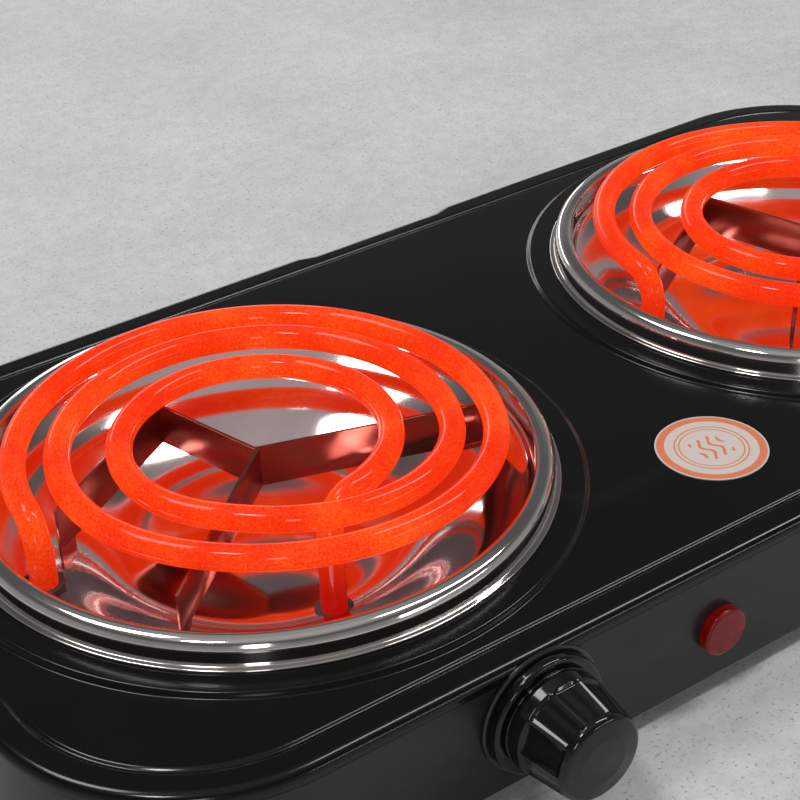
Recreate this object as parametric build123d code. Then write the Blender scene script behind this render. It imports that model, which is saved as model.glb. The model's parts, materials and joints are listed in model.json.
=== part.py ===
from build123d import *
from math import atan2, cos, degrees, hypot, radians, sin, sqrt
import os

# Double electric hot plate, in millimetres, +Z up.
# Everything is modelled in deck coordinates: x = 0 midway between the two
# burners, y = 0 on the line through the burner centres, z = 0 on top of the
# pressed deck.  The front is -Y.  place() then moves each piece so that the
# origin is at the middle of the footprint, on the surface it stands on.

# ---- driving dimensions --------------------------------------------------
BODY_WIDTH = 434.0
BODY_DEPTH = 214.2
BODY_CENTRE_Y = -0.5
CORNER_R = 59.0
SHELL_BOTTOM_Z = -40.0
BASE_GAUGE = 1.0
FOOT_HEIGHT = 5.0
FOOT_R = 9.0

DECK_GAUGE = 1.0
DECK_SKIRT = 4.0
DECK_EDGE_R = 2.8
SEAM_GAP = 0.6
GROOVE_INSET = 8.0
GROOVE_WIDTH = 2.6
GROOVE_DEPTH = 0.55
NOTCH_LEFT_X = -22.0
NOTCH_RIGHT_X = 30.0
NOTCH_DEPTH = 2.0
NOTCH_SLOPE = 6.0

BURNER_X = 108.7
OPENING_R = 80.0
EMBOSS_R = 92.2
EMBOSS_RISE = 1.5
EMBOSS_SLOPE = 1.8

RING_INNER_R = 78.4
RING_OUTER_R = 85.8
RING_TOP_Z = 9.7
RING_GAUGE = 0.8
PAN_GAUGE = 0.7
PAN_FLOOR_Z = -21.6
PAN_PROFILE = [(83.0, 2.2), (78.8, 2.2), (78.0, 1.6), (77.4, 0.2), (76.0, -0.9), (72.0, -2.6),
               (67.0, -5.2), (60.0, -9.8), (51.0, -16.0), (44.0, -19.6), (37.0, -21.2),
               (29.0, PAN_FLOOR_Z), (0.0, PAN_FLOOR_Z)]

COIL_Z = 14.5
TUBE_R = 3.75
TURN_R = (67.7, 55.4, 38.2)
COIL_START_DEG = 172.0
STEP_FROM_DEG = -30.0
STEP_TO_DEG = -140.0
COIL_END_DEG = -798.0
LEG_BEND_R = 10.0
LEG_END_Z = -30.0
BUSH_R = 5.4
BUSH_PROUD = 0.4
PIN_R = 1.4
PIN_END_Z = -35.0

BLADE_GAUGE = 0.9
BLADE_HEIGHT = 13.0
BLADE_DEG = (105.0, 220.5, 342.0)
BLADE_REACH = 68.0
CREASE_R = 39.5
LEG_WIDTH = 7.0
FOOT_CLEARANCE = 0.3
FOLD_TIP_DEG = 172.0
FOLD_TIP_R = 60.0

SHIELD_Z = -28.0
SHIELD_R = 72.0
SHIELD_GAUGE = 0.8
POST_DEG = (40.0, 140.0, 270.0)
POST_RADIUS = 62.0

KNOB_X = 93.2
KNOB_Z = -18.3
KNOB_REACH = 132.8
FLANGE_R = 18.0
FLANGE_BACK = 1.6
FLANGE_FRONT = 4.8
KNOB_BASE_R = 14.4
KNOB_CAP_R = 12.4
FLUTES = 10
FLUTE_R = 4.2
FLUTE_DEPTH = 1.0
FLUTE_START = 9.6
CAP_BAND = 2.4
KNOB_BORE_END = 16.0
SHAFT_R = 3.0
SHAFT_TIP = 15.5
SHAFT_FLAT = 1.6
RUNNING_GAP = 0.05
BEZEL_FRONT = 1.2
THERMOSTAT_DEPTH = 20.0
BRACKET_GAUGE = 1.2
FIXING_X = 11.0
TAB_X = 8.0

LAMP_X = 30.4
LAMP_Z = -23.6
LAMP_R = 7.3
LAMP_STEM_R = 6.0

GLAND_X = 4.0
GLAND_Z = -24.0
GLAND_BORE_R = 4.0
GLAND_REACH = 111.0
MAINS_Y = 62.0
PORTS = (-13.5, -4.5, 4.5, 13.5)
WIRE_R = 1.6
WIRE_BEND = 7.0

LABEL_X = 2.9
LABEL_Y = -67.3
LABEL_R = 16.4

# ---- worked-out places ---------------------------------------------------
FRONT_Y = BODY_CENTRE_Y - BODY_DEPTH / 2
BACK_Y = BODY_CENTRE_Y + BODY_DEPTH / 2
SHELL_INSET = 0.4
SHELL_GAUGE = 1.2
PANEL_Y = FRONT_Y + SHELL_INSET
PANEL_BACK_Y = PANEL_Y + SHELL_GAUGE
BACK_WALL_Y = BACK_Y - SHELL_INSET - NOTCH_DEPTH
BASE_BOTTOM_Z = SHELL_BOTTOM_Z - BASE_GAUGE
DECK_TOP = FOOT_HEIGHT - BASE_BOTTOM_Z
BODY_SHIFT_Y = (KNOB_REACH - GLAND_REACH) / 2
KNOB_LENGTH = KNOB_REACH + PANEL_Y
BRACKET_BACK = SHELL_GAUGE + 0.2 + BRACKET_GAUGE
BODY_BACK = BRACKET_BACK + THERMOSTAT_DEPTH
SHAFT_END = 4.0 - BODY_BACK
WIRE_Z = SHELL_BOTTOM_Z + WIRE_R + 0.1
EYELET_WIRE_Z = PIN_END_Z - WIRE_R - 0.1
SIDES = (("left", -1), ("right", 1))
BASE_SCREW_PLACES = [(x, y) for x in (-140.0, 0.0, 140.0) for y in (FRONT_Y + 8, BACK_Y - 8.5)]
BASE_SCREW_PLACES += [(side * (BODY_WIDTH / 2 - 7.5), BODY_CENTRE_Y) for _, side in SIDES]
FOOT_PLACES = {
    "foot_front_left": (-165.0, -78.0),
    "foot_front_right": (165.0, -78.0),
    "foot_back_left": (-165.0, 79.4),
    "foot_back_right": (165.0, 79.4),
}
UP = (Align.CENTER, Align.CENTER, Align.MIN)
DOWN = (Align.CENTER, Align.CENTER, Align.MAX)
AHEAD = (Align.CENTER, Align.MIN, Align.MIN)
FACE_FRONT = Rot(90, 0, 0)
FACE_BACK = Rot(-90, 0, 0)

PARTS = {}


def add(name, shape):
    """Keep a finished piece under the name of its node."""
    PARTS[name] = shape


def unit(angle):
    return Vector(cos(radians(angle)), sin(radians(angle)), 0)


def lathe(points):
    """A solid of revolution about Z from (radius, height) points."""
    outline = Polyline(*[(r, 0, z) for r, z in points], close=True)
    return revolve(make_face(outline), Axis.Z, 360)


def strip(points, gauge):
    """Close a bent sheet's outline: the points, then the same run one gauge to the left."""
    offset = []
    for i, (x, y) in enumerate(points):
        before = points[max(i - 1, 0)]
        after = points[min(i + 1, len(points) - 1)]
        normals = []
        for (ax, ay), (bx, by) in ((before, (x, y)), ((x, y), after)):
            length = hypot(bx - ax, by - ay)
            if length:
                normals.append(((ay - by) / length, (bx - ax) / length))
        nx = sum(n[0] for n in normals) / len(normals)
        ny = sum(n[1] for n in normals) / len(normals)
        scale = gauge / (nx * nx + ny * ny)
        offset.append((x + nx * scale, y + ny * scale))
    return points + offset[::-1]


def body_outline(inset):
    """The body seen from above, with the shallow recess in its back edge."""
    body = RectangleRounded(BODY_WIDTH - 2 * inset, BODY_DEPTH - 2 * inset, CORNER_R - inset)
    deep = BACK_Y - inset - NOTCH_DEPTH
    recess = make_face(Polyline(
        (NOTCH_LEFT_X, deep), (NOTCH_RIGHT_X, deep),
        (NOTCH_RIGHT_X + 2 * NOTCH_SLOPE, BACK_Y - inset + NOTCH_DEPTH),
        (NOTCH_LEFT_X - 2 * NOTCH_SLOPE, BACK_Y - inset + NOTCH_DEPTH), close=True))
    return Pos(0, BODY_CENTRE_Y) * body - recess


def wall(outer, inner, low, high):
    """The band between two insets of the body outline, from low to high."""
    return Pos(0, 0, low) * extrude(body_outline(outer) - body_outline(inner), high - low)


def disc(radius, height, x=0.0, y=0.0, z=0.0, align=UP):
    return Pos(x, y, z) * Cylinder(radius, height, align=align)


# ---- casing --------------------------------------------------------------
def top_deck():
    """Pressed deck: rolled edge, border groove, two raised seats and openings."""
    deck = Pos(0, 0, -DECK_SKIRT) * extrude(body_outline(0), DECK_SKIRT)
    top_edges = deck.edges().group_by(Axis.Z)[-1]
    deck = fillet(top_edges, DECK_EDGE_R)
    hollow = Pos(0, 0, -DECK_SKIRT) * extrude(body_outline(DECK_GAUGE), DECK_SKIRT - DECK_GAUGE)
    deck -= fillet(hollow.edges().group_by(Axis.Z)[-1], DECK_EDGE_R - DECK_GAUGE)
    corner = CORNER_R - GROOVE_INSET
    width = BODY_WIDTH - 2 * GROOVE_INSET
    depth = BODY_DEPTH - 2 * GROOVE_INSET
    outer = RectangleRounded(width, depth, corner)
    inner = RectangleRounded(width - 2 * GROOVE_WIDTH, depth - 2 * GROOVE_WIDTH, corner - GROOVE_WIDTH)
    deck -= Pos(0, BODY_CENTRE_Y, -GROOVE_DEPTH) * extrude(outer - inner, GROOVE_DEPTH)
    for _, side in SIDES:
        seat = strip([(EMBOSS_R + EMBOSS_SLOPE, -DECK_GAUGE), (EMBOSS_R, EMBOSS_RISE - DECK_GAUGE),
                      (OPENING_R, EMBOSS_RISE - DECK_GAUGE)][::-1], DECK_GAUGE)
        deck -= disc(EMBOSS_R, 2 * DECK_SKIRT, side * BURNER_X, 0, -DECK_SKIRT)
        deck += Pos(side * BURNER_X, 0, 0) * lathe(seat)
    return deck


def body_shell():
    """Wall sheet with a joggled top edge under the deck and a flange for the base."""
    top = -DECK_SKIRT - SEAM_GAP
    joggle = DECK_EDGE_R + 0.1
    shell = wall(SHELL_INSET, SHELL_INSET + SHELL_GAUGE, SHELL_BOTTOM_Z, top)
    shell += wall(SHELL_INSET, joggle + 1.0, top - 1.0, top)
    shell += wall(joggle, joggle + 1.0, top - 1.0, -DECK_GAUGE)
    shell += wall(SHELL_INSET, 12.0, SHELL_BOTTOM_Z, SHELL_BOTTOM_Z + 1.0)
    for _, side in SIDES:
        front = Pos(side * KNOB_X, PANEL_Y - 5, KNOB_Z) * FACE_BACK
        shell -= front * Cylinder(7.5, 12, align=UP)
        for dx in (-FIXING_X, FIXING_X):
            shell -= Pos(dx, 0, 0) * front * Cylinder(1.6, 12, align=UP)
        lamp_hole = Pos(side * LAMP_X, PANEL_Y - 5, LAMP_Z) * FACE_BACK
        shell -= lamp_hole * Cylinder(LAMP_STEM_R + 0.3, 12, align=UP)
    shell -= Pos(GLAND_X, BACK_WALL_Y - 6, GLAND_Z) * FACE_BACK * Cylinder(6.5, 12, align=UP)
    for x, y in BASE_SCREW_PLACES:
        shell -= disc(1.3, 4, x, y, SHELL_BOTTOM_Z - 1)
    return shell


def base_plate():
    """Flat bottom cover with cooling slots under each burner."""
    plate = Pos(0, 0, BASE_BOTTOM_Z) * extrude(body_outline(3.0), BASE_GAUGE)
    slot = SlotOverall(34, 4)
    for _, side in SIDES:
        for row in range(7):
            y = (row - 3) * 11.0
            cut = Pos(side * BURNER_X, y, BASE_BOTTOM_Z - 1) * extrude(slot, 3)
            plate -= cut
    for x, y in BASE_SCREW_PLACES:
        plate -= disc(1.7, 4, x, y, BASE_BOTTOM_Z - 1)
    for x, y in FOOT_PLACES.values():
        plate -= disc(1.7, 4, x, y, BASE_BOTTOM_Z - 1)
    return plate


def base_screws():
    screws = []
    for x, y in BASE_SCREW_PLACES:
        head = disc(3.0, 1.8, x, y, BASE_BOTTOM_Z, DOWN)
        shank = disc(1.25, 5.0, x, y, BASE_BOTTOM_Z)
        recess = Pos(x, y, BASE_BOTTOM_Z - 1.8) * (Box(3.6, 0.8, 1.6) + Box(0.8, 3.6, 1.6))
        screws.append(head + shank - recess)
    return Compound(children=screws)


def rubber_foot(x, y):
    profile = [(2.0, 0), (FOOT_R - 1.2, 0), (FOOT_R, 1.2), (FOOT_R - 0.8, FOOT_HEIGHT), (2.0, FOOT_HEIGHT)]
    recess = disc(4.0, 2.4)
    return Pos(x, y, BASE_BOTTOM_Z - FOOT_HEIGHT) * (lathe(profile) - recess)


def foot_screws():
    screws = []
    for x, y in FOOT_PLACES.values():
        head = disc(3.2, 1.6, x, y, BASE_BOTTOM_Z - FOOT_HEIGHT + 2.4, DOWN)
        shank = disc(1.5, 7.0, x, y, BASE_BOTTOM_Z - FOOT_HEIGHT + 2.4)
        screws.append(head + shank)
    return Compound(children=screws)


# ---- burners -------------------------------------------------------------
def trim_ring():
    """Inverted chrome channel with a flared foot, standing on the raised seat."""
    low = EMBOSS_RISE
    outside = [(RING_OUTER_R, low), (RING_OUTER_R, low + 0.7), (RING_OUTER_R - 1.2, low + 1.7),
               (RING_OUTER_R - 1.9, RING_TOP_Z - 1.5), (RING_OUTER_R - 2.4, RING_TOP_Z - 0.5),
               (RING_OUTER_R - 3.4, RING_TOP_Z), (RING_INNER_R + 1.4, RING_TOP_Z),
               (RING_INNER_R + 0.4, RING_TOP_Z - 0.4), (RING_INNER_R, RING_TOP_Z - 1.4),
               (RING_INNER_R, low + 0.8)]
    return lathe(strip(outside, RING_GAUGE))


def pan_height(radius):
    """Height of the pan's upper face at a radius from the burner's centre."""
    for (r1, z1), (r0, z0) in zip(PAN_PROFILE, PAN_PROFILE[1:]):
        if r0 <= radius <= r1:
            return z0 + (z1 - z0) * (radius - r0) / (r1 - r0)
    return PAN_PROFILE[0][1]


def drip_pan():
    """Bright stepped bowl that hangs from its rim under the trim ring."""
    pan = lathe(strip(PAN_PROFILE, PAN_GAUGE))
    for leg in leg_places():
        pan -= disc(BUSH_R + 0.1, 30, leg.X, leg.Y, -30)
    return pan


def winding_tangent(angle):
    """Direction of travel along the winding, clockwise seen from above."""
    return Vector(sin(radians(angle)), -cos(radians(angle)), 0)


def leg_places():
    """Where the outer and the inner end of the element go down through the pan."""
    outer = unit(COIL_START_DEG) * TURN_R[0] - winding_tangent(COIL_START_DEG) * LEG_BEND_R
    inner = unit(COIL_END_DEG) * TURN_R[2] + winding_tangent(COIL_END_DEG) * LEG_BEND_R
    return [outer, inner]


def arc(centre, radius, start_deg, end_deg):
    rise = Vector(0, 0, COIL_Z)
    points = [centre + unit(a) * radius + rise for a in (start_deg, (start_deg + end_deg) / 2, end_deg)]
    return ThreePointArc(*points)


def step_inwards(start_deg, end_deg, start_r, end_r):
    """Two tangent arcs that carry the winding from one turn's radius to the next."""
    drop = start_r - end_r
    spread = 1 - cos(radians(start_deg - end_deg))
    shift = drop / spread + sqrt((drop / spread) ** 2 - drop * drop / (2 * spread))
    first = unit(start_deg) * shift
    second = unit(end_deg) * -shift
    between = first - second
    joint = degrees(atan2(between.Y, between.X))
    while joint > start_deg:
        joint -= 360
    return [arc(first, start_r - shift, start_deg, joint), arc(second, end_r + shift, joint, end_deg)]


def leg_bend(turn_point, direction, sign):
    """Quarter bend and straight leg, from the winding down towards the terminals."""
    top = turn_point + direction * (sign * LEG_BEND_R)
    low = Vector(top.X, top.Y, COIL_Z - LEG_BEND_R)
    half = direction * (sign * LEG_BEND_R * sin(radians(45)))
    drop = Vector(0, 0, -LEG_BEND_R * (1 - cos(radians(45))))
    middle = turn_point + half + drop
    return low, middle, Vector(low.X, low.Y, LEG_END_Z)


def heating_coil():
    """Sheathed element: two quarter bends, three turns and two steps inwards."""
    rise = Vector(0, 0, COIL_Z)
    centre = Vector(0, 0, 0)
    start = unit(COIL_START_DEG) * TURN_R[0] + rise
    end = unit(COIL_END_DEG) * TURN_R[2] + rise
    low, middle, foot = leg_bend(start, winding_tangent(COIL_START_DEG), -1)
    path = [Line(foot, low), ThreePointArc(low, middle, start)]
    path.append(arc(centre, TURN_R[0], COIL_START_DEG, STEP_FROM_DEG))
    path += step_inwards(STEP_FROM_DEG, STEP_TO_DEG, TURN_R[0], TURN_R[1])
    path.append(arc(centre, TURN_R[1], STEP_TO_DEG, STEP_FROM_DEG - 360))
    path += step_inwards(STEP_FROM_DEG - 360, STEP_TO_DEG - 360, TURN_R[1], TURN_R[2])
    path.append(arc(centre, TURN_R[2], STEP_TO_DEG - 360, COIL_END_DEG))
    low, middle, foot = leg_bend(end, winding_tangent(COIL_END_DEG), 1)
    path += [ThreePointArc(end, middle, low), Line(low, foot)]
    wire = Wire(path)
    section = Plane(origin=wire @ 0, z_dir=wire % 0) * Circle(TUBE_R)
    return sweep(section, path=wire)


def blade(points, top, height, foot_z):
    """An upright strip that follows the points, with a leg down to the pan at its far end."""
    ribbon = make_face(Polyline(*strip(points, BLADE_GAUGE), close=True))
    body = Pos(0, 0, top - height) * extrude(ribbon, height)
    (ax, ay), (bx, by) = points[-2:]
    length = hypot(bx - ax, by - ay)
    tip = Vector(bx - ax, by - ay, 0) / length
    back = Vector(bx, by, 0) - tip * LEG_WIDTH
    leg = make_face(Polyline(*strip([(back.X, back.Y), (bx, by)], BLADE_GAUGE), close=True))
    return body + Pos(0, 0, foot_z) * extrude(leg, top - foot_z)


def coil_support():
    """Three-armed stand of bright strip under the element, welded at a small hub."""
    top = COIL_Z - TUBE_R
    support = disc(1.6, BLADE_HEIGHT, 0, 0, top - BLADE_HEIGHT)
    for index, angle in enumerate(BLADE_DEG):
        far = unit(angle) * BLADE_REACH
        points = [(0, 0), (far.X, far.Y)]
        if index == 0:
            crease = unit(angle) * CREASE_R
            far = unit(FOLD_TIP_DEG) * FOLD_TIP_R
            points = [(0, 0), (crease.X, crease.Y), (far.X, far.Y)]
        foot = pan_height(far.length + BLADE_GAUGE) + FOOT_CLEARANCE
        support += blade(points, top, BLADE_HEIGHT, foot)
    return support


def leg_bushes():
    """Ceramic bushes that carry the element's two ends through the pan."""
    bushes = []
    for leg in leg_places():
        seat = pan_height(hypot(leg.X, leg.Y))
        top = seat + BUSH_PROUD
        profile = [(TUBE_R + 0.1, -27.0), (BUSH_R, -27.0), (BUSH_R, top), (TUBE_R + 0.1, top)]
        bushes.append(Pos(leg.X, leg.Y, 0) * lathe(profile))
    return Compound(children=bushes)


def heat_shield():
    """Reflector tray between the pan and the wiring space."""
    low = SHIELD_Z
    tray = [(0, low), (SHIELD_R - 3, low), (SHIELD_R, low + 3.0), (SHIELD_R, low + 6.0),
            (SHIELD_R - SHIELD_GAUGE, low + 6.0), (SHIELD_R - SHIELD_GAUGE, low + 3.4),
            (SHIELD_R - 3.3, low + SHIELD_GAUGE), (0, low + SHIELD_GAUGE)]
    shield = lathe(tray)
    for leg in leg_places():
        shield -= disc(TUBE_R + 0.25, 8, leg.X, leg.Y, low - 2)
        shield -= disc(BUSH_R + 0.2, 8, leg.X, leg.Y, low + SHIELD_GAUGE)
    for angle in POST_DEG:
        spot = unit(angle) * POST_RADIUS
        shield -= disc(1.6, 8, spot.X, spot.Y, low - 2)
    return shield


def shield_posts():
    """Stand-offs from the base plate to the shield, each with its rivet end."""
    posts = []
    for angle in POST_DEG:
        spot = unit(angle) * POST_RADIUS
        post = disc(3.5, SHIELD_Z - SHELL_BOTTOM_Z, spot.X, spot.Y, SHELL_BOTTOM_Z)
        rivet = disc(1.5, SHIELD_GAUGE, spot.X, spot.Y, SHIELD_Z)
        head = disc(2.6, 0.9, spot.X, spot.Y, SHIELD_Z + SHIELD_GAUGE)
        posts.append(post + rivet + head)
    return Compound(children=posts)


def terminal_blocks():
    """Ceramic blocks under the shield that hold the element's ends."""
    blocks = []
    for leg in leg_places():
        block = Pos(leg.X, leg.Y, SHIELD_Z) * Box(16, 13, 6, align=DOWN)
        block = fillet(block.edges().filter_by(Axis.Z), 2.0)
        block -= disc(TUBE_R + 0.1, 4, leg.X, leg.Y, LEG_END_Z)
        block -= disc(PIN_R + 0.1, 12, leg.X, leg.Y, SHIELD_Z - 8)
        blocks.append(block)
    return Compound(children=blocks)


def terminal_pins():
    """Cold pins that leave the sheath, each with a welded eyelet for its wire."""
    pins = []
    for leg in leg_places():
        pin = disc(PIN_R, LEG_END_Z - PIN_END_Z, leg.X, leg.Y, PIN_END_Z)
        eyelet = disc(3.0, 1.0, leg.X, leg.Y, PIN_END_Z)
        pins.append(pin + eyelet)
    return Compound(children=pins)


def make_burner(side_name, side):
    """All the pieces of one burner, moved to its place in the deck."""
    spot = Pos(side * BURNER_X, 0, 0)
    pieces = {
        "trim_ring": trim_ring(),
        "drip_pan": drip_pan(),
        "heating_coil": heating_coil(),
        "coil_support": coil_support(),
        "leg_bushes": leg_bushes(),
        "heat_shield": heat_shield(),
        "shield_posts": shield_posts(),
        "terminal_blocks": terminal_blocks(),
        "terminal_pins": terminal_pins(),
    }
    for name, piece in pieces.items():
        add(f"{name}_{side_name}", spot * piece)


# ---- controls ------------------------------------------------------------
def knob_solid():
    """Control knob, modelled along +Z from the panel's face: flange, fluted cone and cap."""
    skirt = lathe([(0, FLANGE_BACK), (FLANGE_R - 0.8, FLANGE_BACK), (FLANGE_R, FLANGE_BACK + 0.8),
                   (FLANGE_R, FLANGE_FRONT - 1.2), (FLANGE_R - 1.2, FLANGE_FRONT), (0, FLANGE_FRONT)])
    cone = lathe([(0, FLANGE_BACK), (KNOB_BASE_R + 1.0, FLANGE_BACK), (KNOB_BASE_R, FLANGE_FRONT + 1.2),
                  (KNOB_CAP_R, KNOB_LENGTH - 2.0), (KNOB_CAP_R - 0.9, KNOB_LENGTH - 0.8),
                  (KNOB_CAP_R - 2.6, KNOB_LENGTH - 0.3), (KNOB_CAP_R / 2, KNOB_LENGTH - 0.1),
                  (0, KNOB_LENGTH)])
    away = KNOB_BASE_R + FLUTE_R - FLUTE_DEPTH
    lean = degrees(atan2(KNOB_BASE_R - KNOB_CAP_R, KNOB_LENGTH - FLANGE_FRONT))
    run = KNOB_LENGTH - CAP_BAND - FLUTE_START
    flute = Pos(away, 0, FLUTE_START) * Rot(0, -lean, 0) * Cylinder(FLUTE_R, run, align=UP)
    for index in range(FLUTES):
        cone -= Rot(0, 0, index * 360 / FLUTES) * flute
    knob = skirt + cone
    knob -= disc(FLANGE_R - 2.0, 2.0, 0, 0, FLANGE_BACK) - disc(6.0, 2.0, 0, 0, FLANGE_BACK)
    bore = disc(SHAFT_R + RUNNING_GAP, KNOB_BORE_END - FLANGE_BACK, 0, 0, FLANGE_BACK)
    flat = Pos(0, SHAFT_FLAT + 0.6, FLANGE_BACK) * Box(8, 4, KNOB_BORE_END, align=AHEAD)
    return knob - (bore - flat)


def shaft_solid():
    """D-ended thermostat shaft."""
    shaft = disc(SHAFT_R, SHAFT_TIP - SHAFT_END, 0, 0, SHAFT_END)
    cut = Pos(0, SHAFT_FLAT, FLANGE_BACK) * Box(8, 4, 20, align=AHEAD)
    return shaft - cut


def clip_solid():
    """Spring leaf between the shaft's flat and the knob's bore."""
    return Pos(0, SHAFT_FLAT + 0.05, 4.0) * Box(4.0, 0.5, 10.0, align=AHEAD)


def bezel_solid():
    """Escutcheon in the panel's hole, behind the knob's flange."""
    front = FRONT_Y - PANEL_Y
    profile = [(SHAFT_R + 0.6, -SHELL_GAUGE), (7.4, -SHELL_GAUGE), (7.4, -front), (FLANGE_R + 0.6, -front),
               (FLANGE_R + 0.6, 0.9), (FLANGE_R, BEZEL_FRONT), (SHAFT_R + 0.6, BEZEL_FRONT)]
    bezel = lathe(profile)
    for dx in (-FIXING_X, FIXING_X):
        bezel -= disc(3.1, 4.0, dx, 0, 0.3)
        bezel -= disc(1.6, 8.0, dx, 0, -4.0)
    return bezel


def bracket_solid():
    """Steel plate that carries the thermostat behind the front panel."""
    plate = Pos(0, 0, -BRACKET_BACK) * extrude(RectangleRounded(34, 24, 3), BRACKET_GAUGE)
    plate -= disc(SHAFT_R + 0.6, 6, 0, 0, -BRACKET_BACK - 1)
    for dx in (-FIXING_X, FIXING_X):
        plate -= disc(1.3, 6, dx, 0, -BRACKET_BACK - 1)
    return plate


def thermostat_solid():
    """Moulded regulator body with a through bore for its shaft."""
    body = Pos(0, 0, -BODY_BACK) * extrude(RectangleRounded(30, 23, 2), THERMOSTAT_DEPTH)
    body -= disc(SHAFT_R + RUNNING_GAP, THERMOSTAT_DEPTH, 0, 0, SHAFT_END - 0.4)
    for dx in (-FIXING_X, FIXING_X):
        body -= disc(1.8, 3.5, dx, 0, -BRACKET_BACK - 3.5)
    for dx in (-TAB_X, TAB_X):
        body -= Pos(dx, -8.0, -BODY_BACK) * Box(6.5, 1.0, 4.0, align=UP)
    return body


def tabs_solid():
    """Two blade terminals on the back of the thermostat."""
    tabs = []
    for dx in (-TAB_X, TAB_X):
        tabs.append(Pos(dx, -8.0, -BODY_BACK - 5.5) * Box(6.3, 0.8, 9.0, align=UP))
    return Compound(children=tabs)


def thermostat_screws(side):
    screws = []
    for dx in (-FIXING_X, FIXING_X):
        head = disc(2.7, 0.8, dx, 0, 0.3)
        shank = disc(1.25, BRACKET_BACK + 2.6, dx, 0, 0.3, DOWN)
        screws.append(Pos(side * KNOB_X, PANEL_Y, KNOB_Z) * FACE_FRONT * (head + shank))
    return screws


def make_control(side_name, side):
    """Thermostat, shaft, knob and bezel of one burner."""
    spot = Pos(side * KNOB_X, PANEL_Y, KNOB_Z) * FACE_FRONT
    pieces = {
        "knob": knob_solid(),
        "knob_clip": clip_solid(),
        "thermostat_shaft": shaft_solid(),
        "knob_bezel": bezel_solid(),
        "thermostat_bracket": bracket_solid(),
        "thermostat_body": thermostat_solid(),
        "thermostat_tabs": tabs_solid(),
    }
    for name, piece in pieces.items():
        add(f"{name}_{side_name}", spot * piece)


def lens_solid():
    """Round lamp lens with a domed face and a stem through the panel."""
    return lathe([(0, -3.0), (LAMP_STEM_R, -3.0), (LAMP_STEM_R, 0), (LAMP_R, 0), (LAMP_R, 2.2),
                  (LAMP_R - 0.3, 2.9), (LAMP_R - 1.0, 3.3), (LAMP_R - 2.6, 3.5), (0, 3.6)])


def lamp_housing_solid():
    """Tube that holds the neon lamp behind the lens, with two lead tails."""
    barrel = lathe([(0, -21.0), (LAMP_STEM_R, -21.0), (LAMP_STEM_R, -3.0), (5.0, -3.0),
                    (5.0, -19.0), (0, -19.0)])
    for dx in (-2.5, 2.5):
        barrel += disc(0.8, 5.0, dx, 0, -21.0, DOWN)
    return barrel


def lamp_clip_solid():
    """Push-on ring that pulls the lens against the panel."""
    bore = LAMP_STEM_R + 0.1
    return lathe([(bore, -SHELL_GAUGE - 2.4), (9.0, -SHELL_GAUGE - 1.6), (9.0, -SHELL_GAUGE),
                  (bore, -SHELL_GAUGE)])


def neon_solid():
    """Small gas-filled bulb inside the lamp housing."""
    return lathe([(0, -18.6), (2.6, -18.6), (2.6, -8.0), (1.6, -5.6), (0, -4.8)])


def make_lamp(side_name, side):
    spot = Pos(side * LAMP_X, PANEL_Y, LAMP_Z) * FACE_FRONT
    add(f"lamp_lens_{side_name}", spot * lens_solid())
    add(f"lamp_housing_{side_name}", spot * lamp_housing_solid())
    add(f"lamp_clip_{side_name}", spot * lamp_clip_solid())
    add(f"lamp_bulb_{side_name}", spot * neon_solid())


# ---- mains entry, label and wiring --------------------------------------
def cord_gland():
    """Flanged entry bush in the back wall; the mains cord itself is not part of this model."""
    reach = GLAND_REACH - BACK_WALL_Y
    profile = [(GLAND_BORE_R, -12.0), (6.3, -12.0), (6.3, 0), (9.5, 0), (9.5, 2.0), (7.2, 3.2),
               (6.6, reach - 0.6), (6.0, reach), (GLAND_BORE_R, reach)]
    return Pos(GLAND_X, BACK_WALL_Y, GLAND_Z) * FACE_BACK * lathe(profile)


def gland_nut():
    nut = extrude(RegularPolygon(10.0, 6), 4.0)
    nut -= disc(6.4, 4.0)
    return Pos(GLAND_X, BACK_WALL_Y - SHELL_GAUGE - 4.0, GLAND_Z) * FACE_BACK * nut


def mains_terminal_block():
    """Four-way ceramic block on the base plate, in the space between the burners."""
    block = Pos(GLAND_X, MAINS_Y, SHELL_BOTTOM_Z) * Box(42, 16, 12, align=UP)
    block = fillet(block.edges().filter_by(Axis.Z), 1.5)
    for dx in PORTS:
        port = Pos(GLAND_X + dx, MAINS_Y - 9, SHELL_BOTTOM_Z + 5)
        block -= port * FACE_BACK * Cylinder(2.2, 18, align=UP)
        block -= disc(2.3, 6, GLAND_X + dx, MAINS_Y, SHELL_BOTTOM_Z + 7.5)
    return block


def mains_terminal_screws():
    screws = []
    for dx in PORTS:
        head = disc(2.1, 2.0, GLAND_X + dx, MAINS_Y, SHELL_BOTTOM_Z + 9.0)
        slot = Pos(GLAND_X + dx, MAINS_Y, SHELL_BOTTOM_Z + 11.0) * Box(5, 0.7, 1.4)
        shank = disc(1.2, 1.5, GLAND_X + dx, MAINS_Y, SHELL_BOTTOM_Z + 7.5)
        screws.append(head + shank - slot)
    return Compound(children=screws)


def earth_stud():
    """Protective-earth screw on the base plate with its washer and nut."""
    x = GLAND_X - 34.0
    stud = disc(2.0, 10.0, x, MAINS_Y, SHELL_BOTTOM_Z)
    nut = Pos(x, MAINS_Y, SHELL_BOTTOM_Z + 1.0) * extrude(RegularPolygon(4.0, 6), 3.0)
    washer = disc(5.0, 1.0, x, MAINS_Y, SHELL_BOTTOM_Z)
    return stud + nut + washer


def label_disc():
    return disc(LABEL_R, 0.25, LABEL_X, LABEL_Y, 0)


def wire(points):
    """A wire clipped along the base: straight runs joined by equal arcs."""
    path = FilletPolyline(*points, radius=WIRE_BEND)
    section = Plane(origin=path @ 0, z_dir=path % 0) * Circle(WIRE_R)
    return sweep(section, path=path)


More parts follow.
